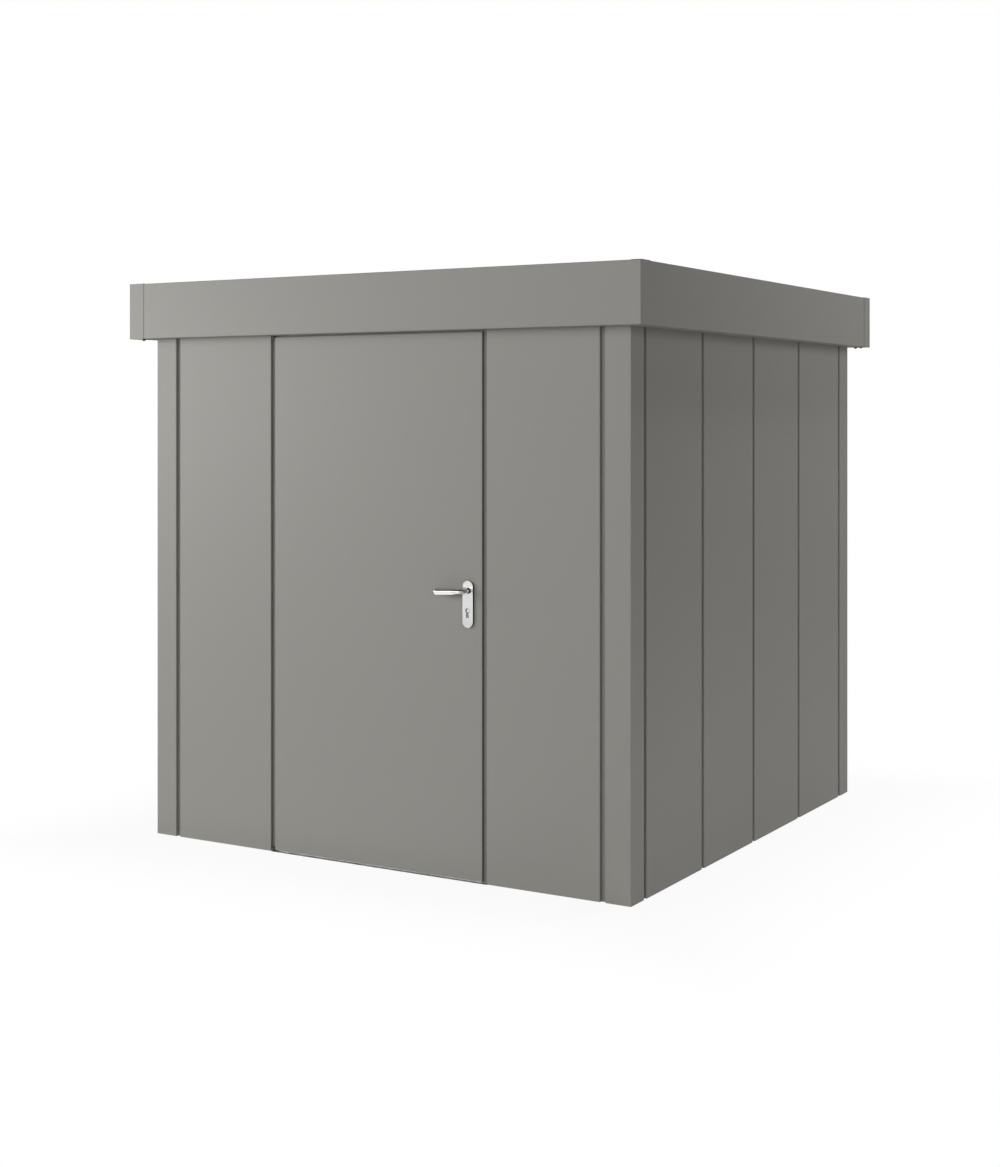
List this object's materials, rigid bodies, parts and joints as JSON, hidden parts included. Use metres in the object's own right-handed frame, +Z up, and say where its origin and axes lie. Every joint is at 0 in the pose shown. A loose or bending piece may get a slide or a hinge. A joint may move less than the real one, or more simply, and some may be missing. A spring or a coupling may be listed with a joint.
{
  "type": "metal tool shed",
  "caption": "Flat-roofed garden tool shed of folded painted sheet panels with shadow joints, a deep fascia and an outward opening rebated door with a lever handle.",
  "frame": {"origin": "middle of the square plan, on the ground", "axes": "+Z up, the door faces -Y, +X to the right of someone who faces the door"},
  "size_m": [2.3, 2.3, 2.22],
  "materials": {
    "painted_sheet": "satin",
    "zinc_coated_sheet": "zinc coated",
    "stainless_fittings": "polished",
    "nickel_lock": "satin nickel"
  },
  "bodies": {
    "shed": {"post_front_left": "painted_sheet", "post_front_right": "painted_sheet", "post_back_left": "painted_sheet", "post_back_right": "painted_sheet", "front_panel_left": "painted_sheet", "front_panel_right": "painted_sheet", "back_panels": "painted_sheet", "left_panels": "painted_sheet", "right_panels": "painted_sheet", "jamb_hinge_side": "painted_sheet", "jamb_lock_side": "painted_sheet", "door_head": "painted_sheet", "fascia_front": "painted_sheet", "fascia_back": "painted_sheet", "fascia_left": "painted_sheet", "fascia_right": "painted_sheet", "fascia_corner_covers": "painted_sheet", "fascia_corner_caps": "painted_sheet", "base_rail_front_left": "zinc_coated_sheet", "base_rail_front_right": "zinc_coated_sheet", "base_rail_back": "zinc_coated_sheet", "base_rail_left": "zinc_coated_sheet", "base_rail_right": "zinc_coated_sheet", "threshold": "zinc_coated_sheet", "top_rail_front": "zinc_coated_sheet", "top_rail_back": "zinc_coated_sheet", "top_rail_left": "zinc_coated_sheet", "top_rail_right": "zinc_coated_sheet", "roof_beams": "zinc_coated_sheet", "roof_sheet": "zinc_coated_sheet", "gutter": "zinc_coated_sheet", "door_pivots": "zinc_coated_sheet"},
    "door": {"door_outer_sheet": "painted_sheet", "door_inner_sheet": "painted_sheet", "door_pivot_arms": "zinc_coated_sheet", "lock_case": "zinc_coated_sheet", "lock_front_plate": "stainless_fittings", "plate_outside": "stainless_fittings", "plate_inside": "stainless_fittings", "lock_cylinder": "nickel_lock"},
    "handle": {"lever_outside": "stainless_fittings", "lever_inside": "stainless_fittings"}
  },
  "joints": [
    {"name": "door_swing", "type": "hinge", "parent": "shed", "child": "door", "pos_m": [-0.481, -1.069, 0], "axis": [0, 0, -1], "range_deg": [0, 105]},
    {"name": "lever_turn", "type": "hinge", "parent": "door", "child": "handle", "pos_m": [0.415, -1.073, 1.056], "axis": [0, -1, 0], "range_deg": [0, 40], "stiffness_Nm_per_rad": 2, "springref_deg": -22.92}
  ]
}
